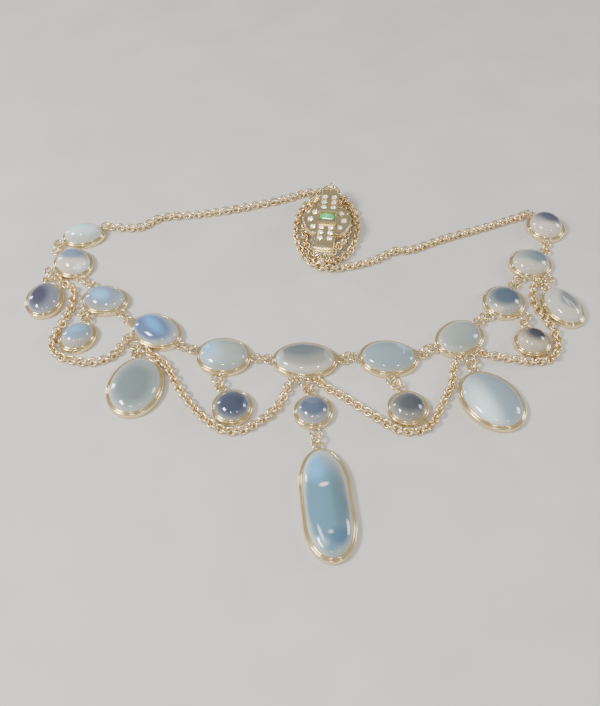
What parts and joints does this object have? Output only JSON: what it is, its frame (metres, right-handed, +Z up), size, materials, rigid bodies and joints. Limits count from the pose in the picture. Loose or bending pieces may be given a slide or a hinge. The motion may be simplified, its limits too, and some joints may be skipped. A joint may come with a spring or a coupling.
{
  "type": "festoon necklace",
  "caption": "Festoon necklace of oval cabochons in plain collets with drops, a long pendant, chain swags and a jewelled clasp, lying flat.",
  "frame": {"origin": "middle of the back face of the central collet, on the surface that the necklace lies on", "axes": "+X to the right of the laid necklace seen from above with its clasp at the top, +Y from the row towards the clasp, +Z up from the surface"},
  "size_m": [0.1216, 0.0966, 0.0059],
  "materials": {
    "collet_gold": "polished, softly worn",
    "chain_gold": "polished wire, slightly tarnished between links",
    "clasp_gold": "pale gold, hand finished",
    "moonstone": "polished cabochon with a blue sheen",
    "white_stone": "faceted",
    "green_stone": "step cut"
  },
  "bodies": {
    "root": {"setting_c": "collet_gold", "setting_r1": "collet_gold", "setting_r2": "collet_gold", "setting_r3": "collet_gold", "setting_r4": "collet_gold", "setting_r5": "collet_gold", "setting_l1": "collet_gold", "setting_l2": "collet_gold", "setting_l3": "collet_gold", "setting_l4": "collet_gold", "setting_l5": "collet_gold", "setting_dc": "collet_gold", "setting_dp": "collet_gold", "setting_dl1": "collet_gold", "setting_dl2": "collet_gold", "setting_dl3": "collet_gold", "setting_dl4": "collet_gold", "setting_dr1": "collet_gold", "setting_dr2": "collet_gold", "setting_dr3": "collet_gold", "setting_dr4": "collet_gold", "stone_c": "moonstone", "stone_r1": "moonstone", "stone_r2": "moonstone", "stone_r3": "moonstone", "stone_r4": "moonstone", "stone_r5": "moonstone", "stone_l1": "moonstone", "stone_l2": "moonstone", "stone_l3": "moonstone", "stone_l4": "moonstone", "stone_l5": "moonstone", "stone_dc": "moonstone", "stone_dp": "moonstone", "stone_dl1": "moonstone", "stone_dl2": "moonstone", "stone_dl3": "moonstone", "stone_dl4": "moonstone", "stone_dr1": "moonstone", "stone_dr2": "moonstone", "stone_dr3": "moonstone", "stone_dr4": "moonstone", "row_rings": "chain_gold", "drop_rings": "chain_gold", "swag_lo": "chain_gold", "swag_li": "chain_gold", "swag_ri": "chain_gold", "swag_ro": "chain_gold", "back_chain_l": "chain_gold", "back_chain_r": "chain_gold", "chain_rings": "chain_gold", "clasp_body": "clasp_gold", "clasp_tongue": "clasp_gold", "clasp_green": "green_stone", "clasp_white": "white_stone"}
  },
  "joints": []
}
